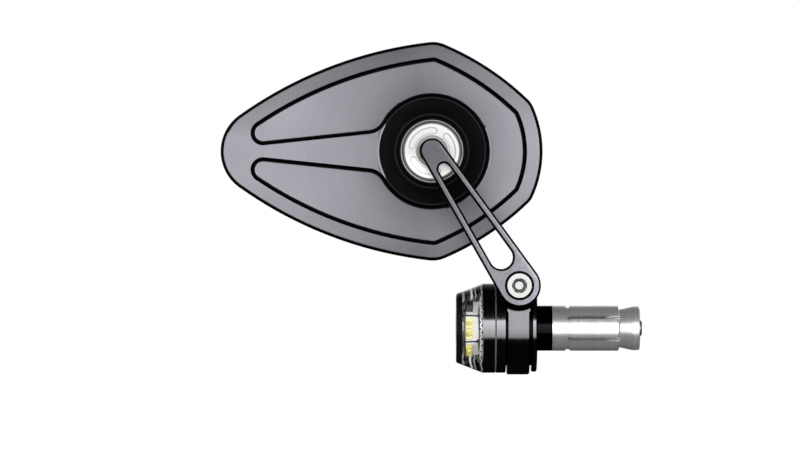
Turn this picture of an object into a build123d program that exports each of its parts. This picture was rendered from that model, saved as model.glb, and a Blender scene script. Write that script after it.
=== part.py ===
from build123d import *

import math
import os

# Bar end mirror with an amber lamp in its carrier, in millimetres.
# X runs along the handlebar, +X into its tube and -X outboard. Z is up and +Y is the reflecting side.
# The origin is the centre of the tube's end face, where the lamp's flange rests.

# Handlebar plug
tube_bore = 18.0
plug_clearance = 0.2
plug_radius = tube_bore / 2 - plug_clearance
spigot_length = 6.0
collet_length = 26.0
collet_wall = 2.6
collet_slot_width = 1.4
collet_slots = 6
collet_solid_end = 6.0
collet_relief_width = 1.6
collet_relief_depth = 0.6
taper_length = 8.0
taper_slope = 0.225
draw_travel = 2.0
cone_length = 13.0
cone_land = 3.0
cone_entry = 5.0
key_width = 1.1
key_root_gap = 1.0
screw_overrun = 1.0

# Socket head screws, by thread radius, head radius, head height and key width across flats
m6_screw = {"thread": 3.0, "head": 5.0, "height": 6.0, "key": 5.0}
m4_screw = {"thread": 2.0, "head": 3.5, "height": 4.0, "key": 3.0}
key_depth_share = 0.55
key_floor_share = 0.62
key_floor_slope = 0.6
screw_edge = 0.35

# Clearances
running = 0.04
thread_gap = 0.03
seat_gap = 0.02
shake = 0.1
blind_hole_gap = 0.6
cut_margin = 1.0

# Lamp, from the bar outwards
lamp_radius = 17.4
flange_radius = 17.0
flange_thickness = 2.2
flange_bore = 11.0
neck_radius = 14.5
collar_length = 4.0
bezel_length = 4.95
bezel_wall = 4.9
register_length = 2.0
lens_length = 8.05
lens_wall = 2.4
lens_lip = 1.2
cap_thickness = 2.3
cap_front_radius = 13.4
cap_hole = 5.6
cap_web = 1.5
cap_spigot_length = 0.7
core_rear_gap = 1.6
core_front_gap = 1.0
core_stub_step = 1.0
core_stub_length = 2.0
core_tail_step = 0.8
core_tail_depth = 1.8
board_thickness = 0.8
board_side_gap = 0.3
board_length = 5.1
board_corner = 0.5
diode_length = 2.4
diode_split = 0.3
diode_height = 1.1
diode_end_gap = 0.6
diode_lens = 1.0
diode_set_back = 0.75
diode_edge = 0.15
reflector_thickness = 0.9
reflector_flutes = 36
flute_depth = 0.45
circuit_thickness = 1.5
circuit_width = 3.0
seal_section = 0.45
bezel_seal_inset = 1.3
cap_seal_inset = 0.45
wire_hole = 1.3
wire_offset = 4.8
gland_length = 5.0
gland_wall = 0.5

# Clamp ring
ring_radius = 18.06
ring_width = 8.8
ring_back_gap = 0.65
ring_front_gap = 0.4
ring_chamfer = 0.45
pivot_height = 16.95
lug_top = 6.8
lug_back = 7.0
lug_round = 2.5
boss_height = 2.04
boss_radius = 7.86
boss_cove = 2.6
lug_hole_depth = 11.6
pinch_slit = 1.4
pinch_screw_y = 21.0
ear_half_height = 7.5
ear_wall = 1.5

# Arm
arm_length = 61.8
arm_angle = 122.85
arm_thickness = 8.5
arm_pivot_radius = 8.2
arm_ball_radius = 4.7
arm_slot_pivot_radius = 4.52
arm_slot_ball_radius = 2.2
arm_slot_from_ball = 8.4
arm_slot_from_pivot = 12.9
arm_front_chamfer = 0.75
arm_back_chamfer = 0.4
counterbore_gap = 0.65
head_recess = 0.1
washer_thickness = 0.5
washer_radius = 6.9

# Ball joint: depths are from the ball's centre, negative towards the arm
ball_radius = 5.0
liner_wall = 0.67
liner_mouth = 40.0
liner_foot = 150.0
liner_slits = 4
liner_slit_width = 0.6
ball_to_arm = 14.5
stud_neck = 2.2
stud_hex = 7.0
stud_hex_length = 4.9
stud_thread = 2.5
stud_thread_length = 5.0
seat_radius = 8.0
front_seat_length = 3.95
rear_seat_length = 4.6
seat_split = 0.04
nut_front = 6.0
nut_flange = 2.0
nut_radius = 12.1
nut_face_radius = 10.5
nut_bevel = 1.1
nut_thread_radius = 10.5
nut_skirt_bore = 8.3
nut_skirt = 3.0
nut_mouth = 6.05
nut_throat = 4.6
nut_throat_depth = 1.4
kidney_radius = 7.95
kidney_width = 2.3
kidney_depth = 0.7
kidney_gap_angle = 22.0
kidney_first_gap = 65.0
kidneys = 3
disc_spring = 0.35
disc_spring_bore = 4.6
disc_spring_radius = 7.8
socket_depth = 5.35

# Mirror housing outline, seen from the back, from the ball's centre
outline_tip = -91.85
outline_top_x = 2.05
outline_top_z = 42.75
outline_shoulder_x = 38.55
outline_shoulder_z = 19.0
side_bow = 158.0
crown_bow = 107.0
end_bow = 42.5
tip_round = 17.2
top_round = 11.9
shoulder_round = 8.2

# Mirror housing section
hub_plane = 6.6
rim_plane = 2.1
front_plane = 8.8
back_edge_round = 1.5
front_edge_chamfer = 0.8
rim_width = 6.1
pocket_depth = 2.2
pocket_floor_round = 2.0
pocket_corner_round = 3.0
finger_round = 4.85
rib_root_round = 8.0
rib_half_width = 9.15
rib_taper = 0.105
rib_rise_start = -65.5
hub_radius = 20.95
bowl_radius = 20.5
bowl_floor = 2.9
bowl_floor_radius = 14.2
bowl_floor_round = 1.2
nut_collar = 12.6

# Mirror glass
glass_bow = 1400.0
glass_thickness = 2.0
glass_crown = 9.4
glass_middle = -14.5
glass_margin = 1.8
glass_play = 0.1
pad_thickness = 0.8
pad_margin = 3.4

# Places along the bar that follow from the lengths above
flange_front = -flange_thickness
collar_back = flange_front - ring_back_gap - ring_width - ring_front_gap
collar_front = collar_back - collar_length
bezel_front = collar_front - bezel_length
lens_front = bezel_front - lens_length
cap_front = lens_front - cap_thickness
ring_centre = flange_front - ring_back_gap - ring_width / 2
core_back = bezel_front - core_rear_gap
core_front = lens_front + core_front_gap
lens_slope = (lamp_radius - cap_front_radius) / (bezel_front - cap_front)
cap_back_radius = cap_front_radius + cap_thickness * lens_slope
register_front = collar_front - register_length
bezel_bore = lamp_radius - bezel_wall
bezel_seal_radius = lamp_radius - bezel_seal_inset
core_tail_radius = bezel_bore - circuit_width - 2 * shake
core_flats = 2 * (core_tail_radius - core_tail_step)
core_stub_radius = core_flats / 2 - core_stub_step
board_width = core_tail_radius - board_side_gap
diode_pitch = board_width / 2 - diode_end_gap
diode_width = diode_pitch - diode_split
cap_seal_radius = cap_front_radius - cap_seal_inset
screw_seat = cap_front + cap_web + m6_screw["height"]
tail_back = collar_front + core_tail_depth
collet_start = spigot_length + shake
collet_end = collet_start + collet_length
taper_start = collet_end - taper_length
collet_bore = plug_radius - collet_wall
cone_nose = collet_end - cone_entry
cone_end = cone_nose + cone_length

# Places of the arm and the ball
strap_face = -ring_radius
boss_face = strap_face - boss_height
arm_back = boss_face - washer_thickness
arm_front = arm_back - arm_thickness
pivot_seat = arm_front + head_recess + m6_screw["height"]
pinch_seat = ear_half_height - m4_screw["height"] - 2 * shake
ball_x = ring_centre + arm_length * math.cos(math.radians(arm_angle))
ball_z = pivot_height + arm_length * math.sin(math.radians(arm_angle))
ball_y = arm_back + ball_to_arm
liner_inner = ball_radius + thread_gap
liner_outer = liner_inner + liner_wall
seat_sphere = liner_outer + thread_gap


def polygon(*points):
    """A flat face on XY with these corners."""
    return make_face(Polyline(*points, close=True))


def turned(*points):
    """A solid turned about X from corners given as (x, radius)."""
    return revolve(polygon(*points), Axis.X)


def at_ball(shape):
    """A shape drawn about the origin, moved to the ball's centre."""
    return Pos(ball_x, ball_y, ball_z) * shape


def turned_at_ball(profile):
    """A solid turned about the mirror's axis, from a face with x as radius and y as depth."""
    return at_ball(revolve(profile, Axis.Y))


def plate(sketch, y_front, y_back, x=0.0, z=0.0):
    """A sketch seen from the front, with its y along Z, as a solid from y_front to y_back."""
    plane = Plane(origin=(x, y_back, z), x_dir=(1, 0, 0), z_dir=(0, -1, 0))
    return extrude(plane * sketch, amount=y_back - y_front)


def ball_plate(sketch, depth_front, depth_back):
    """A plate drawn about the ball, between two depths from the ball's centre."""
    return plate(sketch, ball_y + depth_front, ball_y + depth_back, ball_x, ball_z)


def hull_of_two(radius_a, radius_b, start, end):
    """The outline round two circles on the x axis."""
    lean = math.asin((radius_b - radius_a) / (end - start))
    across = math.cos(lean)
    along = math.sin(lean)
    corner_a = (start - radius_a * along, radius_a * across)
    corner_b = (end - radius_b * along, radius_b * across)
    body = polygon(
        corner_a,
        corner_b,
        (corner_b[0], -corner_b[1]),
        (corner_a[0], -corner_a[1]),
    )
    return body + Pos(start, 0) * Circle(radius_a) + Pos(end, 0) * Circle(radius_b)


def socket_screw(size, shank):
    """A socket head screw that points along +Z, with its head's underside at the origin."""
    head = Pos(0, 0, -size["height"] / 2) * Cylinder(size["head"], size["height"])
    head = chamfer(head.edges().group_by(Axis.Z)[0], screw_edge)
    corner = size["key"] / math.sqrt(3)
    mouth = Pos(0, 0, -size["height"])
    hexagon = RegularPolygon(corner, 6, rotation=30)
    head -= mouth * extrude(hexagon, amount=size["height"] * key_depth_share)
    head -= mouth * Cone(corner + screw_edge, corner - screw_edge, 2 * screw_edge)
    drill = size["key"] / 2
    floor = drill * key_floor_share
    point = (drill - floor) * key_floor_slope
    floor_height = size["height"] * (key_depth_share - 1)
    head -= Pos(0, 0, floor_height + point / 2) * Cone(drill, floor, point)
    thread = Pos(0, 0, shank / 2) * Cylinder(size["thread"], shank)
    thread = chamfer(thread.edges().group_by(Axis.Z)[-1], screw_edge)
    return head + thread


# Lamp and its body


def lamp_body():
    edge = 0.3
    register = bezel_bore - running
    body = turned(
        (register_front, 0),
        (register_front, register),
        (collar_front, register),
        (collar_front, lamp_radius - edge),
        (collar_front + edge, lamp_radius),
        (collar_back - edge, lamp_radius),
        (collar_back, lamp_radius - edge),
        (collar_back, neck_radius),
        (flange_front, neck_radius),
        (flange_front, flange_bore),
        (0, flange_bore),
        (0, plug_radius),
        (spigot_length, plug_radius),
        (spigot_length, 0),
    )
    tail_bore = core_tail_radius + thread_gap
    body -= turned(
        (register_front, 0),
        (register_front, tail_bore),
        (tail_back + seat_gap, tail_bore),
        (tail_back + seat_gap, 0),
    )
    screw_hole = m6_screw["thread"] + shake
    body -= turned(
        (register_front, 0),
        (register_front, screw_hole),
        (spigot_length, screw_hole),
        (spigot_length, 0),
    )
    duct_length = spigot_length - tail_back
    duct = Rot(0, 90, 0) * Cylinder(wire_hole, duct_length)
    return body - Pos(spigot_length - duct_length / 2, 0, -wire_offset) * duct


def rear_flange():
    edge = 0.5
    bore = flange_bore + seat_gap
    front = flange_front + seat_gap
    return turned(
        (front, bore),
        (front, flange_radius - edge),
        (front + edge, flange_radius),
        (-edge, flange_radius),
        (0, flange_radius - edge),
        (0, bore),
    )


def cable_gland():
    outer = wire_hole - seat_gap
    tube = Cylinder(outer, gland_length) - Cylinder(outer - gland_wall, gland_length)
    middle = spigot_length - gland_length / 2
    return Pos(middle, 0, -wire_offset) * (Rot(0, 90, 0) * tube)


def lamp_bezel():
    edge = 0.25
    back = collar_front - seat_gap
    groove_inner = bezel_seal_radius - seal_section - shake
    groove_outer = bezel_seal_radius + seal_section + shake
    groove_floor = bezel_front + 2 * seal_section + shake
    return turned(
        (bezel_front, bezel_bore),
        (bezel_front, groove_inner),
        (groove_floor, groove_inner),
        (groove_floor, groove_outer),
        (bezel_front, groove_outer),
        (bezel_front, lamp_radius),
        (back - edge, lamp_radius),
        (back, lamp_radius - edge),
        (back, bezel_bore),
    )


def ring_seal(x, radius):
    return revolve(Pos(x, radius) * Circle(seal_section), Axis.X)


def lens_seal():
    return ring_seal(bezel_front + seal_section + seat_gap, bezel_seal_radius)


def cap_seal():
    return ring_seal(lens_front - seal_section - seat_gap, cap_seal_radius)


def lamp_lens():
    back = bezel_front - seat_gap
    front = lens_front + seat_gap
    bore_front = cap_back_radius - lens_wall
    return turned(
        (front, bore_front),
        (front, lamp_radius - (bezel_front - front) * lens_slope),
        (back, lamp_radius),
        (back, lamp_radius - lens_wall),
        (front + lens_lip, bore_front),
    )


def end_cap():
    edge = 0.4
    spigot = cap_back_radius - lens_wall - shake
    stub_bore = core_stub_radius + thread_gap
    stub_front = core_front - core_stub_length - seat_gap
    groove = seal_section + shake
    groove_floor = lens_front - 2 * seal_section - shake
    return turned(
        (cap_front, cap_hole),
        (cap_front, cap_front_radius - edge),
        (cap_front + edge, cap_front_radius + edge * lens_slope),
        (lens_front, cap_back_radius),
        (lens_front, cap_seal_radius + groove),
        (groove_floor, cap_seal_radius + groove),
        (groove_floor, cap_seal_radius - groove),
        (lens_front, cap_seal_radius - groove),
        (lens_front, spigot),
        (lens_front + cap_spigot_length, spigot),
        (lens_front + cap_spigot_length, stub_bore),
        (stub_front, stub_bore),
        (stub_front, cap_hole),
    )


def led_core():
    hexagon = RegularPolygon(core_flats / 2, 6, major_radius=False, rotation=30)
    along_bar = Plane(origin=(core_front, 0, 0), x_dir=(0, 1, 0), z_dir=(1, 0, 0))
    core = extrude(along_bar * hexagon, amount=core_back - core_front)
    core += turned(
        (core_front - core_stub_length, 0),
        (core_front - core_stub_length, core_stub_radius),
        (core_front, core_stub_radius),
        (core_front, 0),
    )
    core += turned(
        (core_back, 0),
        (core_back, core_tail_radius),
        (tail_back, core_tail_radius),
        (tail_back, 0),
    )
    head_bore = m6_screw["head"] + shake
    core -= turned(
        (cap_front, 0),
        (cap_front, head_bore),
        (screw_seat, head_bore),
        (screw_seat, 0),
    )
    screw_hole = m6_screw["thread"] + shake
    core -= turned(
        (screw_seat, 0),
        (screw_seat, screw_hole),
        (tail_back, screw_hole),
        (tail_back, 0),
    )
    slot_front = register_front - circuit_thickness - shake
    slot_floor = wire_offset - wire_hole
    slot_height = core_tail_radius - slot_floor + cut_margin
    slot = Box(tail_back - slot_front, 2 * wire_hole, slot_height)
    return core - Pos((tail_back + slot_front) / 2, 0, -slot_floor - slot_height / 2) * slot


def on_facet(index, piece):
    """A piece drawn on the facet that faces -Y, turned about the bar to facet number index."""
    return Rot(360 / 6 * index, 0, 0) * piece


def led_board(index):
    middle = (core_front + core_back) / 2
    face = -core_flats / 2 - seat_gap
    board = Box(board_length, board_thickness, board_width)
    board = chamfer(board.edges().filter_by(Axis.Y), board_corner)
    return on_facet(index, Pos(middle, face - board_thickness / 2, 0) * board)


def led(index, side):
    face = -core_flats / 2 - 2 * seat_gap - board_thickness
    body = Box(diode_length, diode_height, diode_width)
    body = chamfer(body.edges().group_by(Axis.Y)[0], diode_edge)
    bulge = Pos(0, -diode_height / 2, 0) * Sphere(diode_lens)
    bulge &= Pos(0, -diode_height / 2 - diode_lens / 2, 0) * Box(
        2 * diode_lens, diode_lens + diode_height, 2 * diode_lens
    )
    x = core_front + diode_set_back + diode_length / 2
    place = Pos(x, face - diode_height / 2, side * diode_pitch / 2)
    return on_facet(index, place * (body + bulge))


def reflector():
    inner = core_tail_radius + shake
    outer = lamp_radius - lens_wall - reflector_thickness * lens_slope - shake
    back = bezel_front - seat_gap
    front = back - reflector_thickness
    ring = turned((front, inner), (front, outer), (back, outer), (back, inner))
    half_pitch = math.pi * outer / reflector_flutes
    flute = polygon((0, flute_depth), (-half_pitch, -flute_depth), (half_pitch, -flute_depth))
    along_radius = Plane(origin=(front, 0, 0), x_dir=(0, 1, 0), z_dir=(0, 0, 1))
    cutter = extrude(along_radius * (Rot(0, 0, 180) * flute), amount=outer + cut_margin)
    step = 360 / reflector_flutes
    return ring - [Rot(step * k, 0, 0) * cutter for k in range(reflector_flutes)]


def lamp_circuit():
    back = register_front - seat_gap
    front = back - circuit_thickness
    inner = core_tail_radius + shake
    outer = bezel_bore - shake
    return turned((front, inner), (front, outer), (back, outer), (back, inner))


# Expanding plug


def expander_collet():
    end_bore = collet_bore + taper_length * taper_slope
    edge = 0.4
    collet = turned(
        (collet_start, collet_bore),
        (collet_start, plug_radius),
        (collet_end - edge, plug_radius),
        (collet_end, plug_radius - edge),
        (collet_end, end_bore),
        (taper_start, collet_bore),
    )
    slot_length = collet_length - collet_solid_end
    slot = Box(slot_length, collet_slot_width, 2 * plug_radius)
    cutter = Pos(collet_end - slot_length / 2, 0, plug_radius) * slot
    step = 360 / collet_slots
    collet -= [Rot(step * k, 0, 0) * cutter for k in range(collet_slots)]
    relief_middle = collet_end - slot_length
    relief_start = relief_middle - collet_relief_width / 2
    relief_end = relief_middle + collet_relief_width / 2
    relief_floor = plug_radius - collet_relief_depth
    return collet - turned(
        (relief_start, relief_floor),
        (relief_start, plug_radius + cut_margin),
        (relief_end, plug_radius + cut_margin),
        (relief_end, relief_floor),
    )


def expander_cone():
    edge = 0.4
    gap = draw_travel * taper_slope + 2 * running
    nose_radius = collet_bore + (cone_nose - taper_start) * taper_slope - gap
    land_start = cone_end - cone_land
    land_radius = nose_radius + (land_start - cone_nose) * taper_slope
    bore = m6_screw["thread"] + running
    cone = turned(
        (cone_nose, bore),
        (cone_nose, nose_radius),
        (land_start, land_radius),
        (cone_end - edge, land_radius),
        (cone_end, land_radius - edge),
        (cone_end, bore),
    )
    key_length = land_start - cone_nose
    key_height = land_radius - bore - key_root_gap
    key = Box(key_length, key_width, key_height)
    cone += Pos(cone_nose + key_length / 2, 0, land_radius - key_height / 2) * key
    groove_floor = wire_offset - wire_hole
    groove_height = land_radius - groove_floor + cut_margin
    groove = Box(cone_length, 2 * wire_hole, groove_height)
    return cone - Pos(cone_nose + cone_length / 2, 0, -groove_floor - groove_height / 2) * groove


def draw_screw():
    length = cone_end + screw_overrun - screw_seat
    screw = socket_screw(m6_screw, length)
    return Pos(screw_seat - seat_gap, 0, 0) * (Rot(0, 90, 0) * screw)


# Clamp ring and the arm's pivot


def clamp_ring():
    lug_height = pivot_height + lug_top
    cove_span = math.sqrt(boss_cove**2 - (boss_cove - boss_height) ** 2)
    cove_foot = boss_radius + cove_span
    lug = polygon(
        (strap_face, 0),
        (strap_face, pivot_height - cove_foot),
        (boss_face, pivot_height - cove_foot),
        (boss_face, lug_height),
        (-lug_back, lug_height),
        (0, ring_radius),
        (0, 0),
    )
    ear_end = pinch_screw_y + m4_screw["head"] + shake + ear_wall
    ear_length = ear_end - neck_radius
    ears = Pos(neck_radius + ear_length / 2, 0) * Rectangle(ear_length, 2 * ear_half_height)
    side = Circle(ring_radius) + lug + ears
    corners = [v for v in side.vertices() if v.Y > lug_height - 0.1 or v.X > ear_end - 0.1]
    side = fillet(corners, lug_round)
    ring_start = ring_centre - ring_width / 2
    across = Plane(origin=(ring_start, 0, 0), x_dir=(0, 1, 0), z_dir=(1, 0, 0))
    ring = extrude(across * side, amount=ring_width)
    rims = [e for f in ring.faces().filter_by(Axis.X) for e in f.edges()]
    ring = chamfer(rims, ring_chamfer)
    reach = 4 * boss_radius
    beyond = polygon(
        (cove_foot, boss_face - cut_margin),
        (reach, boss_face - cut_margin),
        (reach, strap_face),
        (cove_foot, strap_face),
    )
    cove = Pos(cove_foot, strap_face - boss_cove) * Circle(boss_cove)
    ring -= Pos(ring_centre, 0, pivot_height) * revolve(beyond + cove, Axis.Y)
    bore = Cylinder(neck_radius + running, ring_width)
    ring -= Pos(ring_centre, 0, 0) * (Rot(0, 90, 0) * bore)
    slit = Box(ring_width, ear_length + 2 * cut_margin, pinch_slit)
    ring -= Pos(ring_centre, neck_radius + ear_length / 2, 0) * slit
    thread = Circle(m6_screw["thread"] + thread_gap)
    ring -= plate(thread, boss_face, boss_face + lug_hole_depth, ring_centre, pivot_height)
    pinch = Pos(ring_centre, pinch_screw_y, 0)
    upper_hole = Cylinder(m4_screw["thread"] + shake, ear_half_height)
    ring -= pinch * (Pos(0, 0, ear_half_height / 2) * upper_hole)
    lower_hole = Cylinder(m4_screw["thread"] + thread_gap, ear_half_height)
    ring -= pinch * (Pos(0, 0, -ear_half_height / 2) * lower_hole)
    head_depth = ear_half_height - pinch_seat
    head_bore = Cylinder(m4_screw["head"] + shake, head_depth)
    return ring - pinch * (Pos(0, 0, ear_half_height - head_depth / 2) * head_bore)


def pinch_screw():
    screw = socket_screw(m4_screw, pinch_seat + ear_half_height - shake)
    return Pos(ring_centre, pinch_screw_y, pinch_seat + seat_gap) * (Rot(180, 0, 0) * screw)


def pivot_screw():
    length = boss_face + lug_hole_depth - blind_hole_gap - pivot_seat
    screw = socket_screw(m6_screw, length)
    return Pos(ring_centre, pivot_seat, pivot_height) * (Rot(-90, 0, 0) * screw)


def pivot_washer():
    washer = Circle(washer_radius) - Circle(m6_screw["thread"] + shake)
    return plate(washer, arm_back + seat_gap, boss_face - seat_gap, ring_centre, pivot_height)


def arm():
    blank = hull_of_two(arm_pivot_radius, arm_ball_radius, 0, arm_length)
    blank -= hull_of_two(
        arm_slot_pivot_radius,
        arm_slot_ball_radius,
        arm_slot_from_pivot,
        arm_length - arm_slot_from_ball,
    )
    turned_blank = Rot(0, 0, arm_angle) * blank
    bar = plate(turned_blank, arm_front, arm_back, ring_centre, pivot_height)
    front_face = bar.faces().filter_by(Axis.Y).sort_by(Axis.Y)[0]
    bar = chamfer(front_face.edges(), arm_front_chamfer)
    back_face = bar.faces().filter_by(Axis.Y).sort_by(Axis.Y)[-1]
    bar = chamfer(back_face.edges(), arm_back_chamfer)
    bore = Circle(m6_screw["thread"] + running)
    bar -= plate(bore, arm_front, arm_back, ring_centre, pivot_height)
    counterbore = Circle(m6_screw["head"] + counterbore_gap)
    floor = pivot_seat + seat_gap
    bar -= plate(counterbore, arm_front, floor, ring_centre, pivot_height)
    thread = Circle(stud_thread + thread_gap)
    hole_end = arm_back - stud_thread_length - shake
    return bar - plate(thread, hole_end, arm_back, ball_x, ball_z)


# Ball joint


def sphere_point(radius, angle):
    """A point on a sphere's section, by its angle from the arm's direction."""
    turn = math.radians(angle)
    return (radius * math.sin(turn), -radius * math.cos(turn))


def seat_bore(depth):
    """The seats' spherical bore at this depth from the ball's centre."""
    return math.sqrt(seat_sphere**2 - depth**2)


def ball_stud():
    hex_back = -ball_to_arm + stud_hex_length
    neck = polygon((0, hex_back), (stud_neck, hex_back), (stud_neck, 0), (0, 0))
    stud = turned_at_ball(neck) + at_ball(Sphere(ball_radius))
    corner = stud_hex / math.sqrt(3)
    stud += ball_plate(RegularPolygon(corner, 6), -ball_to_arm + seat_gap, hex_back)
    thread_end = -ball_to_arm - stud_thread_length
    return stud + ball_plate(Circle(stud_thread), thread_end, hex_back)


def ball_liner():
    middle = (liner_mouth + liner_foot) / 2
    outside = ThreePointArc(
        sphere_point(liner_outer, liner_mouth),
        sphere_point(liner_outer, middle),
        sphere_point(liner_outer, liner_foot),
    )
    inside = ThreePointArc(
        sphere_point(liner_inner, liner_mouth),
        sphere_point(liner_inner, middle),
        sphere_point(liner_inner, liner_foot),
    )
    mouth = Line(outside @ 0, inside @ 0)
    foot = Line(outside @ 1, inside @ 1)
    liner = revolve(make_face([outside, foot, inside, mouth]), Axis.Y)
    slit = Box(liner_slit_width, liner_outer, 2 * liner_outer)
    cutter = Pos(0, -liner_outer / 2, liner_outer) * slit
    step = 360 / liner_slits
    liner -= [Rot(0, step * k + step / 2, 0) * cutter for k in range(liner_slits)]
    return at_ball(liner)


def seat(depth_front, depth_back):
    """A ring round the liner between two depths, with a spherical bore."""
    middle = (depth_front + depth_back) / 2
    bore = ThreePointArc(
        (seat_bore(depth_front), depth_front),
        (seat_bore(middle), middle),
        (seat_bore(depth_back), depth_back),
    )
    outside = Polyline(
        (seat_bore(depth_back), depth_back),
        (seat_radius, depth_back),
        (seat_radius, depth_front),
        (seat_bore(depth_front), depth_front),
    )
    return turned_at_ball(make_face([bore, outside]))


def front_seat():
    return seat(-front_seat_length, -seat_split / 2)


def rear_seat():
    return seat(seat_split / 2, rear_seat_length)


def socket_nut():
    face = -nut_front
    under = face + nut_flange
    skirt_end = under + nut_skirt
    nut = turned_at_ball(
        polygon(
            (nut_mouth, face),
            (nut_face_radius, face),
            (nut_radius, face + nut_bevel),
            (nut_radius, under - seat_gap),
            (nut_thread_radius, under - seat_gap),
            (nut_thread_radius, skirt_end),
            (nut_skirt_bore, skirt_end),
            (nut_skirt_bore, under),
            (nut_throat, under),
            (nut_throat, face + nut_throat_depth),
        )
    )
    step = 360 / kidneys
    end_turn = math.degrees(math.asin(kidney_width / 2 / kidney_radius))
    span = step - kidney_gap_angle - 2 * end_turn
    for k in range(kidneys):
        start = kidney_first_gap + k * step + (step - span) / 2
        slot = SlotArc(CenterArc((0, 0), kidney_radius, start, span), kidney_width)
        nut -= ball_plate(slot, face, face + kidney_depth)
    return nut


def disc_washer():
    low = rear_seat_length + seat_gap
    rise = socket_depth - seat_gap - disc_spring - low
    return turned_at_ball(
        polygon(
            (disc_spring_bore, low + rise),
            (disc_spring_bore, low + rise + disc_spring),
            (disc_spring_radius, low + disc_spring),
            (disc_spring_radius, low),
        )
    )


# Mirror head


def sharp_outline(inset):
    """The mirror's outline with sharp corners, drawn in by inset."""
    top = (outline_top_x, outline_top_z)
    shoulder = (outline_shoulder_x, outline_shoulder_z)
    side = RadiusArc((outline_tip, 0), top, side_bow)
    crown = RadiusArc(top, shoulder, crown_bow)
    end = RadiusArc(shoulder, (outline_shoulder_x, -outline_shoulder_z), end_bow)
    lower = [mirror(side, Plane.XZ), mirror(crown, Plane.XZ)]
    face = make_face([side, crown, end] + lower)
    if inset > 0:
        face = offset(face, -inset, kind=Kind.INTERSECTION)
    return face


def outline(inset):
    """The mirror's outline with its rounds, drawn in by inset."""
    face = sharp_outline(inset)
    face = fillet(face.vertices().sort_by(Axis.X)[-2:], shoulder_round - inset)
    by_height = face.vertices().sort_by(Axis.Y)
    face = fillet([by_height[0], by_height[-1]], top_round - inset)
    return fillet(face.vertices().sort_by(Axis.X)[:1], tip_round - inset)


def pocket():
    """The pocket round the hub, with a finger on each side of the rib."""
    face = sharp_outline(rim_width)
    face = fillet(face.vertices().sort_by(Axis.X)[1:], pocket_corner_round)
    rib = polygon((-rib_half_width / rib_taper, 0), (0, rib_half_width), (0, -rib_half_width))
    face = face - rib - Circle(hub_radius)
    fingers = face.vertices().sort_by(Axis.X)[:2]
    face = fillet(fingers, finger_round)
    roots = [v for v in face.vertices() if abs(math.hypot(v.X, v.Y) - hub_radius) < 0.01]
    return fillet(roots, rib_root_round)


def bowl():
    """The dished recess round the nut, with the collar that the nut sits on."""
    wall = (hub_plane - bowl_floor) / (bowl_radius - bowl_floor_radius)
    lift = nut_front - nut_flange
    profile = polygon(
        (0, -hub_plane - cut_margin),
        (bowl_radius + cut_margin / wall, -hub_plane - cut_margin),
        (bowl_floor_radius, -bowl_floor),
        (nut_collar, -lift),
        (0, -lift),
    )
    floor = [v for v in profile.vertices() if abs(v.X - bowl_floor_radius) < 0.01]
    return turned_at_ball(fillet(floor, bowl_floor_round))


def mirror_housing():
    blank = ball_plate(outline(0), -rim_plane, front_plane)
    back_face = blank.faces().filter_by(Axis.Y).sort_by(Axis.Y)[0]
    blank = fillet(back_face.edges(), back_edge_round)
    front_face = blank.faces().filter_by(Axis.Y).sort_by(Axis.Y)[-1]
    blank = chamfer(front_face.edges(), front_edge_chamfer)
    web = -rim_plane + pocket_depth
    blank -= ball_plate(pocket(), -rim_plane, web)
    raised = sharp_outline(rim_width) - pocket()
    raised = ball_plate(raised, -hub_plane, web)
    ramp = polygon(
        (rib_rise_start, -rim_plane),
        (-hub_radius, -hub_plane),
        (hub_radius, -hub_plane),
        (hub_radius, web),
        (rib_rise_start, web),
    )
    raised &= at_ball(extrude(ramp, amount=hub_radius, both=True))
    housing = blank + raised
    floor_depth = ball_y + web
    floor = [
        e
        for e in housing.edges()
        if abs(e.bounding_box().min.Y - floor_depth) < 0.01
        and abs(e.bounding_box().max.Y - floor_depth) < 0.01
    ]
    housing = fillet(floor, pocket_floor_round)
    housing -= bowl()
    nut_end = -nut_front + nut_flange + nut_skirt + shake
    thread = Circle(nut_thread_radius + thread_gap)
    housing -= ball_plate(thread, -nut_front, nut_end)
    housing -= ball_plate(Circle(seat_radius + running), -nut_front, socket_depth)
    return housing - glass_recess()


def glass_sphere(radius):
    """A ball whose surface is a shell of the mirror's convex glass."""
    return at_ball(Pos(glass_middle, glass_crown - glass_bow, 0) * Sphere(radius))


def glass_recess():
    prism = ball_plate(outline(glass_margin - glass_play), 0, glass_crown + cut_margin)
    return prism - glass_sphere(glass_bow - glass_thickness - pad_thickness)


def mirror_glass():
    prism = ball_plate(outline(glass_margin), 0, glass_crown + cut_margin)
    return prism & glass_sphere(glass_bow) - glass_sphere(glass_bow - glass_thickness)


def glass_pad():
    prism = ball_plate(outline(pad_margin), 0, glass_crown + cut_margin)
    back = glass_bow - glass_thickness
    return (prism & glass_sphere(back - seat_gap)) - glass_sphere(back - pad_thickness + seat_gap)


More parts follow.
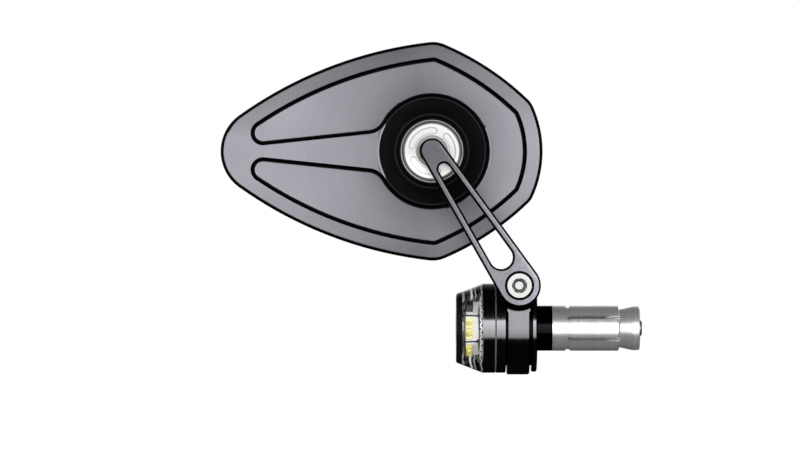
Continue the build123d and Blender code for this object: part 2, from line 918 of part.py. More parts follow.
def pieces():
    """Every piece by its node's name."""
    named = {
        "lamp_body": lamp_body(),
        "rear_flange": rear_flange(),
        "cable_gland": cable_gland(),
        "lamp_bezel": lamp_bezel(),
        "lens_seal": lens_seal(),
        "lamp_lens": lamp_lens(),
        "cap_seal": cap_seal(),
        "end_cap": end_cap(),
        "led_core": led_core(),
        "reflector": reflector(),
        "lamp_circuit": lamp_circuit(),
        "expander_collet": expander_collet(),
        "expander_cone": expander_cone(),
        "draw_screw": draw_screw(),
        "clamp_ring": clamp_ring(),
        "pinch_screw": pinch_screw(),
        "pivot_screw": pivot_screw(),
        "pivot_washer": pivot_washer(),
        "arm": arm(),
        "ball_stud": ball_stud(),
        "ball_liner": ball_liner(),
        "front_seat": front_seat(),
        "rear_seat": rear_seat(),
        "socket_nut": socket_nut(),
        "disc_spring": disc_washer(),
        "mirror_housing": mirror_housing(),
        "glass_pad": glass_pad(),
        "mirror_glass": mirror_glass(),
    }
    for facet in range(6):
        named[f"led_board_{facet + 1}"] = led_board(facet)
        named[f"led_{facet + 1}_lower"] = led(facet, -1)
        named[f"led_{facet + 1}_upper"] = led(facet, 1)
    return named


os.makedirs("parts", exist_ok=True)
for name, piece in pieces().items():
    export_step(piece, f"parts/{name}.step")
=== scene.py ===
import math

import bmesh
import bpy
from mathutils import Matrix, Vector


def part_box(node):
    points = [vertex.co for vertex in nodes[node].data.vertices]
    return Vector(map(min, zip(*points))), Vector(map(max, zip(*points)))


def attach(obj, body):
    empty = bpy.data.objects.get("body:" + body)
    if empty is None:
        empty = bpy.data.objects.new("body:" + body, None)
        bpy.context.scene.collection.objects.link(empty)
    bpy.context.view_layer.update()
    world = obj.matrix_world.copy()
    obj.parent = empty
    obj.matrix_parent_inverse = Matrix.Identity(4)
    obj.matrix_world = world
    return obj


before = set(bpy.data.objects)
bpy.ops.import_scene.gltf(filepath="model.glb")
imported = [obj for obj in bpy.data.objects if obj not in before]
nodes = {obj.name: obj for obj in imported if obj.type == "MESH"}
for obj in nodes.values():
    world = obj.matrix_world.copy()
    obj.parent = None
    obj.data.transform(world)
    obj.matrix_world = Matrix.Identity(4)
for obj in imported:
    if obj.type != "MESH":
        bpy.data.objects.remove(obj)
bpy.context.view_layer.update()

# Bar end mirror with its lamp, in metres. X runs along the handlebar, Z is up and -Y is the milled back,
# which the camera faces.

MM = 0.001

# Camera: the picture plane is y = 0
picture_width = 0.312
camera_distance = 1.85
camera_x = -0.05316
camera_z = 0.04023
sensor_width = 36.0

# Studio
softbox_distance = 1.5
softbox_width = 1.9
softbox_height = 1.26
softbox_z = -0.03
softbox_radiance = 3.9
softbox_lean = 0.45
softbox_least = 0.2
rear_softbox_radiance = 1.0
world_light = 0.3
card_reach = 0.62
card_dark = 0.015
side_card_dark = 0.3
card_pale = 0.5
lower_card_z = -0.09
side_card_front = -1.3
upper_card_front = -1.56
lower_card_front = -0.215
card_back = 1.3
card_fade_start = 0.25
card_fade_end = 1.2
floor_z = -0.12
floor_size = 2.2
floor_grey = 0.78
floor_mottle = 0.02
floor_glow = 0.4

# Colours and levels of the finishes
flat_grey = (0.168, 0.167, 0.185)
wall_level = 0.3
# Black under every black finish: the anodising's own black, and the painted shade on edges and curves
black_and_edge_shade = (0.004, 0.004, 0.0048)
turned_grey = (0.113, 0.113, 0.117)
ring_grey = (0.092, 0.092, 0.097)
board_grey = (0.96, 0.96, 0.96)
phosphor_deep = (0.98, 0.86, 0.15)
phosphor_pale = (0.99, 0.95, 0.36)

# Places taken from the frame
nut_low, nut_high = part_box("socket_nut")
ball_axis = Vector(((nut_low.x + nut_high.x) / 2, 0, (nut_low.z + nut_high.z) / 2))
pivot_low, pivot_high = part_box("pivot_screw")
pivot_axis = Vector(((pivot_low.x + pivot_high.x) / 2, 0, (pivot_low.z + pivot_high.z) / 2))
joint_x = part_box("lamp_bezel")[1].x
rim_y = -8.2 * MM
# The clamp's strap is round about X, so its front is as far from the axis as its underside
strap_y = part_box("clamp_ring")[0].z


# Building a material


class Finish:
    """A material, with its nodes added one by one behind one Principled shader."""

    def __init__(self, name, **values):
        self.material = bpy.data.materials.new(name)
        self.material.use_nodes = True
        self.tree = self.material.node_tree
        self.shader = self.tree.nodes["Principled BSDF"]
        self.coordinates = self.tree.nodes.new("ShaderNodeTexCoord")
        self.place = self.coordinates.outputs["Object"]
        self.set(**values)

    def put(self, socket, value):
        if isinstance(value, bpy.types.NodeSocket):
            self.tree.links.new(value, socket)
        elif isinstance(value, tuple) and socket.type == "RGBA":
            socket.default_value = (*value[:3], 1.0)
        else:
            socket.default_value = value

    def set(self, **values):
        """Sets the shader's sockets, named with underscores for spaces."""
        for key, value in values.items():
            self.put(self.shader.inputs[key.replace("_", " ")], value)

    def node(self, kind, inputs=(), **settings):
        made = self.tree.nodes.new("ShaderNode" + kind)
        for key, value in settings.items():
            setattr(made, key, value)
        for key, value in dict(inputs).items():
            self.put(made.inputs[key], value)
        return made

    def math(self, operation, a, b=0.0):
        return self.node("Math", {0: a, 1: b}, operation=operation).outputs[0]

    def times(self, a, b):
        return self.math("MULTIPLY", a, b)

    def plus(self, a, b):
        return self.math("ADD", a, b)

    def minus(self, a, b):
        return self.math("SUBTRACT", a, b)

    def most(self, a, b):
        return self.math("MAXIMUM", a, b)

    def ramp(self, value, low, high, to_low=0.0, to_high=1.0, curve="SMOOTHSTEP"):
        """value from low to high, mapped to a new range and held at its ends."""
        inputs = {"Value": value, "From Min": low, "From Max": high, "To Min": to_low, "To Max": to_high}
        made = self.node("MapRange", inputs, interpolation_type=curve)
        return made.outputs["Result"]

    def spread(self, noise, low=0.0, high=1.0, curve="SMOOTHSTEP"):
        """Noise mapped so that nearly all of it lies from low to high."""
        return self.ramp(noise, 0.3, 0.7, low, high, curve)

    def roughen(self, noise, roughness, less, more):
        """Roughness that follows a noise, from so much less to so much more than its level."""
        self.set(Roughness=self.ramp(noise, 0.25, 0.75, roughness - less, roughness + more))

    def mix(self, share, a, b, blend="MIX"):
        made = self.node("Mix", data_type="RGBA", blend_type=blend)
        sockets = [s for s in made.inputs if s.type == "RGBA"]
        self.put(made.inputs[0], share)
        self.put(sockets[0], a)
        self.put(sockets[1], b)
        return [s for s in made.outputs if s.type == "RGBA"][0]

    def noise(self, scale, stretch=(1, 1, 1), detail=3.0):
        """Noise at this many cells per metre, about 0.5 on average."""
        mapping = self.node("Mapping", {"Vector": self.place, "Scale": stretch})
        inputs = {"Vector": mapping.outputs[0], "Scale": scale, "Detail": detail}
        return self.node("TexNoise", inputs).outputs[0]

    def normal_part(self, axis):
        """How much of the surface's own normal lies along an axis of the object, without its sign."""
        parts = self.node("SeparateXYZ", {0: self.coordinates.outputs["Normal"]})
        return self.math("ABSOLUTE", parts.outputs[axis])

    def along(self, axis, origin=0.0):
        """The distance along an axis of the object from a place on it."""
        parts = self.node("SeparateXYZ", {0: self.place})
        return self.minus(parts.outputs[axis], origin)

    def radius(self, centre, axes="XZ"):
        """The distance from this point in the plane of two axes."""
        squares = [self.math("POWER", self.along(a, getattr(centre, a.lower())), 2.0) for a in axes]
        return self.math("SQRT", self.plus(*squares))

    def band(self, value, low, high, soft):
        """1 where value is between low and high, and 0 outside, with soft ends."""
        rise = self.ramp(value, low - soft, low + soft)
        fall = self.ramp(value, high - soft, high + soft, 1.0, 0.0)
        return self.times(rise, fall)

    def shade(self, colour, factor):
        """A colour times a factor."""
        factor = self.node("CombineColor", {0: factor, 1: factor, 2: factor}).outputs[0]
        return self.mix(1.0, colour, factor, "MULTIPLY")

    def bump(self, height, depth):
        made = self.node("Bump", {"Height": height, "Distance": depth, "Strength": 1.0})
        self.set(Normal=made.outputs[0])

    def surface(self, shader):
        """Shows this shader in place of the first one."""
        self.put(self.tree.nodes["Material Output"].inputs["Surface"], shader.outputs[0])


def grey(value):
    return (value, value, value)


# Finishes


def milled_black(name, roughness):
    """Black anodised plate: satin grey on its flats, with painted shade that makes its edges and curves deep
    black.
    """
    finish = Finish(name, Metallic=0.8, Specular_Tint=grey(0.5))
    grain = finish.noise(2600)
    cloud = finish.noise(45, detail=1.0)
    tone = finish.plus(finish.spread(cloud, 0.97, 1.03), finish.spread(grain, -0.09, 0.09))
    finish.roughen(grain, roughness, 0.05, 0.05)
    finish.bump(grain, 0.005 * MM)
    # Painted shade: where the surface turns from -Y it is painted black, and the outer side walls only down
    # to wall_level.
    facing = finish.normal_part("Y")
    wall = finish.ramp(facing, 0.03, 0.1, wall_level, 0.0)
    flat = finish.most(finish.ramp(facing, 0.976, 0.9935), wall)
    return finish, flat, tone


bowl_radius = 21.0 * MM
bowl_soft = 0.1 * MM
bowl_land = 0.5 * MM
bowl_floor_radius = 12.0 * MM
rib_end_x = -18.1 * MM
rib_end_soft = 0.5 * MM
painted_shade_offset = 5.0 * MM
painted_shade_reach = 50.0 * MM


def rim_dimmer(finish):
    """Painted shade: how much dimmer the rim is painted than the pockets above, left of and below the hub."""
    height = finish.along("Z", ball_axis.z)
    upper = finish.ramp(height, 4 * MM, 28 * MM, 0.0, 0.25)
    left = finish.ramp(finish.along("X", ball_axis.x), -14 * MM, -4 * MM, 0.16, 0.0)
    left = finish.times(left, finish.ramp(height, 4 * MM, 12 * MM))
    lower = finish.ramp(height, -24 * MM, -8 * MM, 0.14, 0.0)
    rim_shade = finish.plus(finish.plus(upper, left), lower)
    on_rim = finish.ramp(finish.along("Y", rim_y), 0.05 * MM, 0.15 * MM, 1.0, 0.0)
    return finish.times(rim_shade, on_rim)


def head_finish():
    """The head's plate, milled in faint arcs round its hub, and black in its bowl, with painted shade and
    painted highlights for how the light falls on it.
    """
    finish, flat, tone = milled_black("head_black", 0.42)
    radius = finish.radius(ball_axis)
    line = finish.node("CombineXYZ", {0: radius}).outputs[0]
    arcs = finish.node("TexNoise", {"Vector": line, "Scale": 700.0, "Detail": 3.0}).outputs[0]
    tone = finish.times(tone, finish.spread(arcs, 0.975, 1.025))

    # Painted shade: darker towards the hub from either side, down to about half.
    side = finish.math("ABSOLUTE", finish.along("X", ball_axis.x - painted_shade_offset))
    tone = finish.times(tone, finish.ramp(side, 0.0, painted_shade_reach, 0.53, 1.0, "LINEAR"))
    # Painted shade: a little darker near the top and bottom.
    tall = finish.math("ABSOLUTE", finish.along("Z", ball_axis.z))
    tone = finish.times(tone, finish.ramp(tall, 33 * MM, 40 * MM, 1.0, 0.87))
    # Painted shade in the pockets near the hub, but not on the rib, and a painted highlight that makes the
    # rib paler.
    rib = finish.ramp(finish.normal_part("X"), 0.05, 0.09)
    painted_hub_shade = finish.most(finish.ramp(radius, bowl_radius, 34 * MM, 0.8, 1.0), rib)
    tone = finish.times(tone, painted_hub_shade)
    tone = finish.times(tone, finish.ramp(rib, 0.0, 1.0, 1.0, 1.24))
    tone = finish.times(tone, finish.minus(1.0, rim_dimmer(finish)))
    tone = finish.times(tone, flat)

    # Painted highlight on the hub's land where the rib ends at it; the rest of the land is painted black as
    # shade.
    beside_rib = finish.along("X", ball_axis.x)
    rib_end = finish.ramp(beside_rib, rib_end_x - rib_end_soft, rib_end_x + rib_end_soft, 1.0, 0.0)
    land = finish.band(radius, bowl_radius - bowl_land, bowl_radius, bowl_soft)
    painted_glint = finish.times(land, rib_end)
    outside = finish.ramp(radius, bowl_radius - bowl_soft, bowl_radius + bowl_soft)
    tone = finish.times(tone, finish.most(outside, painted_glint))
    tone = finish.plus(tone, finish.times(painted_glint, 0.5))

    # Inside the bowl: near black, a little paler towards its edge, with painted shade where it faces -Y.
    inside = finish.minus(1.0, outside)
    bowl = finish.ramp(radius, bowl_floor_radius, bowl_radius - bowl_soft, 0.02, 0.07)
    bowl = finish.times(bowl, inside)
    bowl = finish.times(bowl, finish.ramp(finish.normal_part("Y"), 0.88, 1.0, 1.0, 0.25))
    tone = finish.plus(tone, bowl)
    finish.set(Metallic=finish.ramp(inside, 0.0, 1.0, 0.8, 0.85))
    finish.set(Base_Color=finish.mix(1.0, black_and_edge_shade, finish.shade(flat_grey, tone), "ADD"))
    return finish.material


arm_pivot_radius = 8.2 * MM
arm_ball_radius = 4.7 * MM
arm_slot_low = 4.52 * MM
arm_slot_high = 2.2 * MM
arm_slot_start = 13 * MM
arm_slot_end = 9 * MM
arm_counterbore = 5.6 * MM


def arm_finish():
    """The arm's plate, with painted light and shade: paler towards its pivot and its right."""
    finish, flat, tone = milled_black("arm_black", 0.36)
    mottle = finish.noise(900, detail=2.0)
    tone = finish.times(tone, finish.ramp(mottle, 0.35, 0.65, 0.92, 1.12))
    # Painted light and shade: darker towards the ball, paler towards the pivot and towards the right.
    reach = (pivot_axis - ball_axis).length
    tone = finish.times(tone, finish.ramp(finish.radius(ball_axis), 0.0, 0.9 * reach, 0.365, 0.8))
    from_x = finish.along("X", pivot_axis.x)
    tone = finish.times(tone, finish.ramp(from_x, -5 * MM, 7 * MM, 0.885, 1.24))
    # Painted shade: black inside the counterbore round the pivot screw.
    past_bore = finish.ramp(finish.radius(pivot_axis), arm_counterbore, arm_counterbore + 0.1 * MM)
    tone = finish.times(tone, past_bore)
    along = (ball_axis - pivot_axis).normalized()
    from_z = finish.along("Z", pivot_axis.z)
    reach_up = finish.plus(finish.times(from_x, along.x), finish.times(from_z, along.z))
    across = finish.minus(finish.times(from_x, along.z), finish.times(from_z, along.x))
    outer = finish.ramp(reach_up, 0.0, reach, arm_pivot_radius, arm_ball_radius, "LINEAR")
    inner = finish.ramp(reach_up, 0.2 * reach, 0.86 * reach, -arm_slot_low, -arm_slot_high, "LINEAR")
    slotted = finish.band(reach_up, arm_slot_start, reach - arm_slot_end, 1.5 * MM)
    # Painted highlight: a pale band within about a millimetre of the outer edge and the slot's edges, a
    # little darker beyond it.
    for edge, where in ((outer, 1.0), (inner, slotted)):
        from_edge = finish.minus(edge, across)
        painted_edge_light = finish.ramp(from_edge, 1.0 * MM, 1.8 * MM, 0.35, -0.06)
        painted_edge_light = finish.times(painted_edge_light, finish.ramp(from_edge, 0.0, 0.1 * MM))
        painted_edge_light = finish.times(painted_edge_light, where)
        tone = finish.times(tone, finish.plus(1.0, painted_edge_light))
    tone = finish.times(tone, flat)
    finish.set(Base_Color=finish.mix(1.0, black_and_edge_shade, finish.shade(flat_grey, tone), "ADD"))
    return finish.material


glint_half_width = 0.26 * MM


def turned_black(
    name, roughness=0.15, satin=turned_grey, proud=None, line=None, neck=None, edge_level=0.0, metallic=1.0
):
    """Black anodised turning about X: satin along its cylinders, with painted shade that makes its chamfers
    and end faces deep black.

    proud is the depth beyond which it is painted black as shade, line is a place along X with a painted
    highlight, a pale line, and neck is a radius within which it is painted black as shade.
    """
    finish = Finish(name, Metallic=metallic, Specular_Tint=grey(0.5))
    # Painted shade: chamfers and end faces are painted black, or down to edge_level.
    level = finish.ramp(finish.normal_part("X"), 0.06, 0.2, 1.0, edge_level)
    rings = finish.noise(1500, stretch=(1, 0.01, 0.01), detail=4.0)
    level = finish.times(level, finish.spread(rings, 0.93, 1.05))
    # Painted shade: black in front of the depth proud, where the arm stands over the strap.
    if proud is not None:
        behind = finish.ramp(finish.along("Y", proud), -0.06 * MM, -0.02 * MM)
        level = finish.times(level, behind)
    # Painted shade: black within the radius neck, in the gap between the parts.
    if neck is not None:
        reach = finish.radius(Vector(), "YZ")
        level = finish.times(level, finish.ramp(reach, neck, neck + 0.3 * MM))
    # Painted highlight: a pale line at the joint, not metallic.
    if line is not None:
        edge = finish.band(finish.along("X", line), -glint_half_width, glint_half_width, 0.04 * MM)
        level = finish.most(level, finish.times(edge, 1.5))
        finish.set(Metallic=finish.minus(1.0, edge))
    finish.set(Base_Color=finish.mix(1.0, black_and_edge_shade, finish.shade(satin, level), "ADD"))
    finish.roughen(rings, roughness, 0.03, 0.03)
    finish.bump(rings, 0.002 * MM)
    return finish.material


def turned_metal(name, colour, roughness, axis="X"):
    """Bright metal with the fine marks of a lathe, square to an axis."""
    finish = Finish(name, Metallic=0.75)
    along = {"X": (1, 0.01, 0.01), "Y": (0.01, 1, 0.01)}[axis]
    rings = finish.noise(1800, stretch=along, detail=4.0)
    finish.set(Base_Color=finish.shade(colour, finish.spread(rings, 0.9, 1.0)))
    finish.roughen(rings, roughness, 0.05, 0.06)
    finish.bump(rings, 0.002 * MM)
    return finish.material


kidney_radius = 7.95 * MM
kidney_half_width = 1.15 * MM
kidney_half_span = math.radians(81) / 2
kidney_pitch = math.radians(120)
kidney_turn = math.radians(65)
nut_well_radius = 4.95 * MM
nut_mouth_radius = 6.0 * MM
nut_line_pitch = 0.5 * MM
nut_inner_ring = (10.4 * MM, 11.0 * MM)
nut_rim_ring = (11.75 * MM, 12.2 * MM)


def nut_finish(name, colour, roughness):
    """Bright metal faced on a lathe about the mirror's axis, with painted shade on its bevels, round its
    slots, at its mouth and in its well, and painted light on its rings, towards its bottom and on its step.
    """
    finish = Finish(name, Metallic=1.0)
    radius = finish.radius(ball_axis)
    line = finish.node("CombineXYZ", {0: radius}).outputs[0]
    rings = finish.node("TexNoise", {"Vector": line, "Scale": 1500.0, "Detail": 2.0}).outputs[0]
    turn = finish.math("ARCTAN2", finish.along("Z", ball_axis.z), finish.along("X", ball_axis.x))
    turn = finish.minus(turn, kidney_turn)
    third = finish.math("FRACT", finish.math("DIVIDE", turn, kidney_pitch))
    from_middle = finish.math("ABSOLUTE", finish.minus(third, 0.5))
    from_middle = finish.times(from_middle, kidney_pitch)
    past_end = finish.most(finish.minus(from_middle, kidney_half_span), 0.0)
    near = finish.times(finish.math("COSINE", past_end), 2 * kidney_radius)
    squared = finish.minus(finish.times(radius, radius), finish.times(near, radius))
    from_line = finish.math("SQRT", finish.plus(squared, kidney_radius**2))
    from_edge = finish.minus(from_line, kidney_half_width)
    # Painted shade: darker lines round the slots, and darker, not metallic bevels.
    level = finish.ramp(finish.math("ABSOLUTE", from_edge), 0.12 * MM, 0.3 * MM, 0.6, 1.0)
    level = finish.times(level, finish.spread(rings, 0.96, 1.0))
    bevel = finish.ramp(finish.normal_part("Y"), 0.9, 0.99)
    level = finish.times(level, finish.ramp(bevel, 0.0, 1.0, 0.3, 1.0))
    # Painted highlights: two pale rings, at the inner edge and at the rim.
    inner = finish.band(radius, *nut_inner_ring, 0.1 * MM)
    rim_highlight = finish.band(radius, *nut_rim_ring, 0.06 * MM)
    mouth_shade = finish.band(radius, nut_mouth_radius, nut_mouth_radius + 0.3 * MM, 0.08 * MM)
    level = finish.most(level, finish.times(rim_highlight, 1.7))
    level = finish.most(level, finish.times(inner, 1.1))
    # Painted shade: a darker ring at the mouth.
    level = finish.minus(level, finish.times(mouth_shade, 0.35))
    # Painted light: brighter towards the bottom, where the arm shades it.
    level = finish.times(level, finish.ramp(finish.along("Z", ball_axis.z), -6 * MM, 0.0, 1.6, 1.0))
    # Painted light: the step inside the mouth is painted bright, with fine turned rings, and not metallic.
    step_light = finish.band(radius, nut_well_radius, nut_mouth_radius, 0.08 * MM)
    lines = finish.math("SINE", finish.times(radius, math.tau / nut_line_pitch))
    lines = finish.ramp(lines, -1.0, 1.0, 1.9, 2.9)
    level = finish.plus(level, finish.times(step_light, finish.minus(lines, level)))
    # Painted shade: black in the well.
    well_shade = finish.ramp(radius, nut_well_radius - 0.05 * MM, nut_well_radius + 0.05 * MM)
    level = finish.times(level, well_shade)
    finish.set(Metallic=finish.times(bevel, finish.minus(1.0, step_light)))
    finish.set(Base_Color=finish.shade(colour, level))
    finish.set(Roughness=finish.spread(rings, roughness - 0.04, roughness + 0.05))
    finish.bump(rings, 0.001 * MM)
    return finish.material


board_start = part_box("led_board_1")[0].x
diode_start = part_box("led_1_lower")[0].x


def core_finish(name, colour, roughness):
    """Turned aluminium, with painted shade in the gaps between the boards and painted light that makes its
    front end pale.
    """
    finish = Finish(name)
    rings = finish.noise(1800, stretch=(1, 0.01, 0.01), detail=4.0)
    # Painted shade behind the boards' front, and painted light on the front end, which is not metallic.
    end = finish.ramp(finish.along("X", board_start), -0.2 * MM, -0.1 * MM, 1.0, 0.0)
    gap_shade_and_end_light = finish.ramp(end, 0.0, 1.0, 0.03, 3.0)
    finish.set(Metallic=finish.minus(1.0, end))
    level = finish.times(finish.spread(rings, 0.9, 1.0), gap_shade_and_end_light)
    finish.set(Base_Color=finish.shade(colour, level))
    finish.roughen(rings, roughness, 0.05, 0.06)
    finish.bump(rings, 0.002 * MM)
    return finish.material


def board_finish(name, colour, roughness):
    """White solder mask, with a black margin in front of the diodes."""
    finish = Finish(name)
    grain = finish.noise(1200)
    margin = finish.ramp(finish.along("X", diode_start), -0.15 * MM, -0.05 * MM, 0.02, 1.0)
    level = finish.times(finish.spread(grain, 0.96, 1.0), margin)
    finish.set(Base_Color=finish.shade(colour, level))
    finish.roughen(grain, roughness, 0.05, 0.08)
    finish.bump(grain, 0.004 * MM)
    return finish.material


def screw_finish(name, colour, roughness, axis):
    """Stainless steel faced on a lathe: bright faces, with painted shade on its edges and in its sockets, and
    painted light on its cones.
    """
    finish = Finish(name, Metallic=1.0)
    grain = finish.noise(1500, detail=3.0)
    # Painted shade off the faces, and painted light on the cones, which are not metallic.
    facing = finish.normal_part(axis)
    cone = finish.band(facing, 0.8, 0.92, 0.03)
    face = finish.ramp(facing, 0.9, 0.99, 0.35, 1.0)
    face = finish.most(face, finish.times(cone, 0.6))
    level = finish.times(face, finish.ramp(grain, 0.35, 0.65, 0.76, 1.0))
    finish.set(Metallic=finish.minus(1.0, cone))
    finish.set(Base_Color=finish.shade(colour, level))
    finish.roughen(grain, roughness, 0.05, 0.06)
    finish.bump(grain, 0.004 * MM)
    return finish.material


def moulded(name, colour, roughness, grain_depth=0.01):
    """A moulded plastic or rubber with a fine grain, a little paler in its high spots."""
    finish = Finish(name)
    grain = finish.noise(1200)
    paler = tuple(0.85 * part + 0.1 for part in colour)
    finish.set(Base_Color=finish.mix(finish.spread(grain, 0.0, 0.25), colour, paler))
    finish.roughen(grain, roughness, 0.05, 0.08)
    finish.bump(grain, grain_depth * MM)
    return finish.material


# Painted reflections, dark and bright rings that the lens shows in its steep sides: place along X, half width
# and brightness
lens_painted_reflections = (
    (-28.9 * MM, 0.45 * MM, 0.45),
    (-25.7 * MM, 0.42 * MM, 1.0),
    (-24.1 * MM, 0.2 * MM, 0.6),
    (-21.5 * MM, 0.2 * MM, 0.6),
)


def clear_lens(name):
    """Clear polycarbonate, with painted reflections as dark and bright rings where it is seen steeply."""
    finish = Finish(name, Transmission_Weight=1.0, IOR=1.58, Base_Color=grey(0.99), Roughness=0.0)
    flow = finish.noise(500, stretch=(1, 0.06, 0.06), detail=2.0)
    finish.bump(flow, 0.2 * MM)
    waves = finish.noise(110, stretch=(0.4, 1, 1), detail=3.0)
    drift = finish.spread(waves, -0.7 * MM, 0.7 * MM, "LINEAR")
    along = finish.plus(finish.along("X"), drift)
    level = finish.ramp(finish.noise(700, stretch=(1, 0.3, 0.3)), 0.45, 0.75, 0.0, 0.12)
    for middle, half, strength in lens_painted_reflections:
        ring = finish.band(along, middle - half, middle + half, 0.12 * MM)
        level = finish.most(level, finish.times(ring, strength))
    colour = finish.shade(grey(1.0), level)
    rings = finish.node("BsdfPrincipled", {"Base Color": colour, "Roughness": 0.08})
    steep = finish.node("LayerWeight", {"Blend": 0.5}).outputs["Facing"]
    steep = finish.ramp(steep, 0.3, 0.4)
    sides = finish.node("MixShader", {0: steep, 1: finish.shader.outputs[0], 2: rings.outputs[0]})
    clear = finish.node("BsdfTransparent", {"Color": grey(1.0)})
    light = finish.node("LightPath").outputs
    through = finish.most(light["Is Shadow Ray"], light["Is Diffuse Ray"])
    mixed = finish.node("MixShader", {0: through, 1: sides.outputs[0], 2: clear.outputs[0]})
    finish.surface(mixed)
    return finish.material


def amber_phosphor(name):
    """The yellow silicone over a lamp's diode."""
    finish = Finish(name, Coat_Weight=1.0, Coat_Roughness=0.05, Roughness=0.4)
    cloud = finish.noise(900, detail=2.0)
    finish.set(Base_Color=finish.mix(finish.spread(cloud), phosphor_deep, phosphor_pale))
    finish.bump(cloud, 0.01 * MM)
    return finish.material


flute_count = 36
reflector_low, reflector_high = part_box("reflector")


def fluted_chrome(name):
    """Metallised plastic, with painted shade in the valleys between its flutes."""
    finish = Finish(name, Metallic=0.12)
    turn = finish.math("ARCTAN2", finish.along("Z"), finish.along("Y"))
    wave = finish.math("FRACT", finish.times(turn, flute_count / math.tau))
    wave = finish.math("ABSOLUTE", finish.minus(wave, 0.5))
    across = finish.ramp(finish.along("X"), reflector_low.x, reflector_high.x, -0.1, 0.3, "LINEAR")
    # Painted shade: dark valleys between the flutes, in a zigzag across the rim.
    valley = finish.ramp(finish.minus(across, wave), 0.0, 0.06)
    finish.set(Base_Color=finish.shade(grey(0.95), finish.ramp(valley, 0.0, 1.0, 1.0, 0.05)))
    haze = finish.noise(500, detail=2.0)
    finish.set(Roughness=finish.spread(haze, 0.1, 0.2))
    return finish.material


def convex_mirror(name):
    """Silvered glass, with the faint haze of wiped glass."""
    finish = Finish(name, Metallic=1.0, Base_Color=(0.84, 0.88, 0.9), Coat_Weight=1.0, Coat_Roughness=0.0)
    haze = finish.noise(45, stretch=(1, 1, 0.3), detail=4.0)
    finish.set(Roughness=finish.ramp(haze, 0.35, 0.75, 0.015, 0.05))
    return finish.material


def dress(material, *names):
    for name in names:
        slots = nodes[name].data.materials
        slots.clear()
        slots.append(material)


def numbered(form):
    return [form.format(k) for k in range(1, 7)]


nut_silver = nut_finish("nut_silver", (0.27, 0.27, 0.267), 0.32)
stainless = turned_metal("stainless", (0.8, 0.79, 0.77), 0.26, "Y")
bright_aluminium = turned_metal("bright_aluminium", (0.86, 0.86, 0.87), 0.32)
board_white = board_finish("board_white", board_grey, 0.45)
board_green = moulded("board_green", (0.02, 0.12, 0.05), 0.4, 0.004)
rubber = moulded("rubber", grey(0.02), 0.55)
black_acetal = moulded("black_acetal", grey(0.03), 0.35, 0.004)
natural_acetal = moulded("natural_acetal", (0.82, 0.81, 0.77), 0.4, 0.004)
foam = moulded("foam", grey(0.12), 0.85, 0.05)
diode_amber = amber_phosphor("diode_amber")

dress(head_finish(), "mirror_housing")
dress(arm_finish(), "arm")
dress(turned_black("lamp_black", line=joint_x, neck=16 * MM), "lamp_body", "lamp_bezel", "rear_flange")
dress(turned_black("cap_black", edge_level=0.15, metallic=0.7), "end_cap")
dress(turned_black("ring_black", satin=ring_grey, proud=strap_y), "clamp_ring")
dress(nut_silver, "socket_nut")
pivot_steel = screw_finish("pivot_steel", (0.3, 0.299, 0.293), 0.34, "Y")
dress(pivot_steel, "pivot_screw")
dress(screw_finish("draw_steel", (0.62, 0.61, 0.6), 0.34, "X"), "draw_screw")
dress(stainless, "pinch_screw", "ball_stud", "disc_spring")
dress(bright_aluminium, "expander_collet", "expander_cone")
dress(core_finish("core_aluminium", (0.3, 0.3, 0.305), 0.4), "led_core")
dress(black_acetal, "front_seat", "rear_seat", "pivot_washer")
dress(natural_acetal, "ball_liner")
dress(rubber, "lens_seal", "cap_seal", "cable_gland")
dress(foam, "glass_pad")
dress(board_green, "lamp_circuit")
dress(board_white, *numbered("led_board_{}"))
dress(diode_amber, *numbered("led_{}_lower"), *numbered("led_{}_upper"))
# The sixth facet's diodes look black
dress(moulded("diode_masked", grey(0.005), 0.3), "led_6_lower", "led_6_upper")
dress(fluted_chrome("reflector_chrome"), "reflector")
dress(convex_mirror("convex_mirror"), "mirror_glass")
dress(clear_lens("clear_lens"), "lamp_lens")


# Added pieces


def piece(name, mesh, material, body):
    """A new piece of the object, which rides on a body."""
    made = bpy.data.objects.new(name, mesh)
    bpy.context.scene.collection.objects.link(made)
    mesh.materials.append(material)
    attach(made, body)


def ring_mesh(name, sections, place):
    """A closed tube from rings of points: sections is a list of rings, the last joined to the first."""
    mesh = bpy.data.meshes.new(name)
    form = bmesh.new()
    rings = [[form.verts.new(place @ Vector(p)) for p in ring] for ring in sections]
    count = len(rings[0])
    for k, ring in enumerate(rings):
        after = rings[(k + 1) % len(rings)]
        for i in range(count):
            j = (i + 1) % count
            form.faces.new((ring[i], ring[j], after[j], after[i]))
    bmesh.ops.recalc_face_normals(form, faces=form.faces)
    form.to_mesh(mesh)
    form.free()
    return mesh


def knurled_band(name, radius, start, end, place, ridges=44, height=0.09 * MM, root=0.08 * MM):
    """The straight knurl round a screw's head, along Z from start to end before it is placed.

    Its ridges slope down at both ends, and it reaches as deep as root into the head.
    """

    def ring(z, valley, crest):
        points = []
        for k in range(2 * ridges):
            turn = math.pi * k / ridges
            reach = crest if k % 2 else valley
            points.append((reach * math.cos(turn), reach * math.sin(turn), z))
        return points

    crest = radius + height
    core = radius - root
    sections = [
        ring(start, radius, radius),
        ring(start + height, radius, crest),
        ring(end - height, radius, crest),
        ring(end, radius, radius),
        ring(end, core, core),
        ring(start, core, core),
    ]
    return ring_mesh(name, sections, place)


m6_head_height = 6.0 * MM
m4_head_height = 4.0 * MM
knurl_margin = 0.8 * MM

